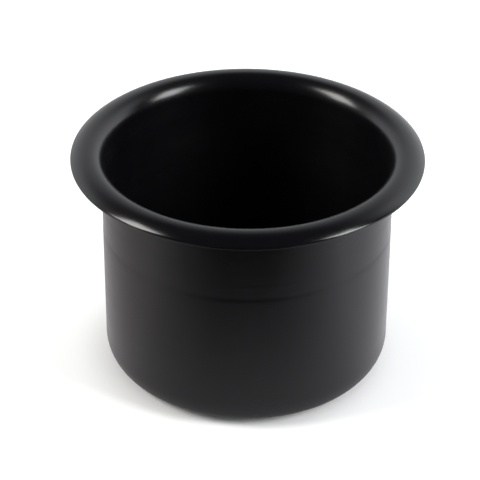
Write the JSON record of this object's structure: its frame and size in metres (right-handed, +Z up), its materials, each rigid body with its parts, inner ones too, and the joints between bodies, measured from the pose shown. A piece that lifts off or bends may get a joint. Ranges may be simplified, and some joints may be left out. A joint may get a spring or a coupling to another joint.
{
  "type": "drop-in cup holder",
  "caption": "Round drop-in cup holder: a deep flat-bottomed cup of black anodised aluminium with a domed rim that rests on a panel.",
  "frame": {"origin": "middle of the base's underside", "axes": "+Z up along the cup's axis and out of its mouth; +X and +Y level, and alike, because the part is round"},
  "size_m": [0.108, 0.108, 0.074],
  "materials": {
    "black_anodised": "satin black anodised, with faint level draw marks"
  },
  "bodies": {
    "root": {"cup": "black_anodised"}
  },
  "joints": []
}
